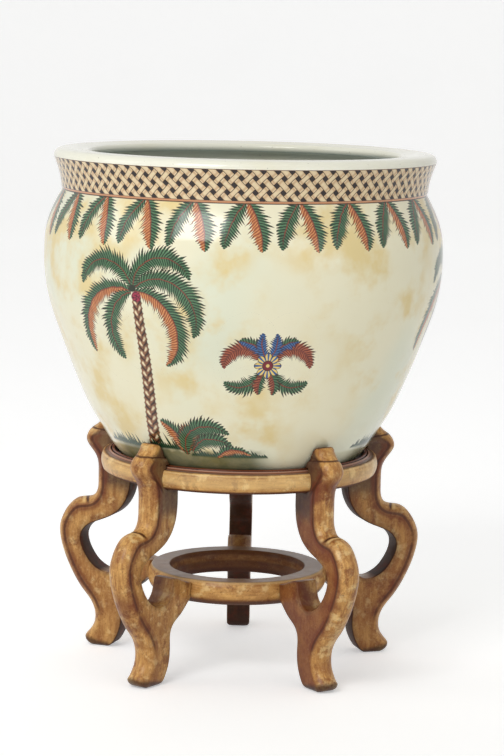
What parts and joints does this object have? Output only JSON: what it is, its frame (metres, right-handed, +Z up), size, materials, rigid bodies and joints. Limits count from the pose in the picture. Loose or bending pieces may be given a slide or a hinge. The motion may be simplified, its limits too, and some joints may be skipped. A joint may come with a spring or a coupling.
{
  "type": "jardiniere on stand",
  "caption": "Glazed ceramic fish-bowl jardiniere with a flared woven-pattern collar, standing in a lacquered wooden stand of cabriole legs joined by two rings.",
  "frame": {"origin": "on the floor under the bowl's axis", "axes": "+Z up along the bowl's axis; -Y is the front, between two legs; one leg stands at +Y"},
  "size_m": [0.4576, 0.4576, 0.5962],
  "materials": {
    "glazed_bowl": "gloss",
    "stand_wood": "satin lacquer",
    "screw_steel": "satin"
  },
  "bodies": {
    "stand": {"leg_front_right": "stand_wood", "leg_right": "stand_wood", "leg_back": "stand_wood", "leg_left": "stand_wood", "leg_front_left": "stand_wood", "top_ring_front": "stand_wood", "top_ring_right": "stand_wood", "top_ring_back_right": "stand_wood", "top_ring_back_left": "stand_wood", "top_ring_left": "stand_wood", "lower_ring_front": "stand_wood", "lower_ring_right": "stand_wood", "lower_ring_back_right": "stand_wood", "lower_ring_back_left": "stand_wood", "lower_ring_left": "stand_wood", "top_ring_tongues": "stand_wood", "lower_ring_tongues": "stand_wood", "leg_screws": "screw_steel", "lower_ring_dowels": "stand_wood"},
    "bowl": {"bowl": "glazed_bowl"}
  },
  "joints": [
    {"name": "bowl_lift", "type": "slide", "parent": "stand", "child": "bowl", "axis": [0, 0, 1], "range_m": [0, 0.09]}
  ]
}
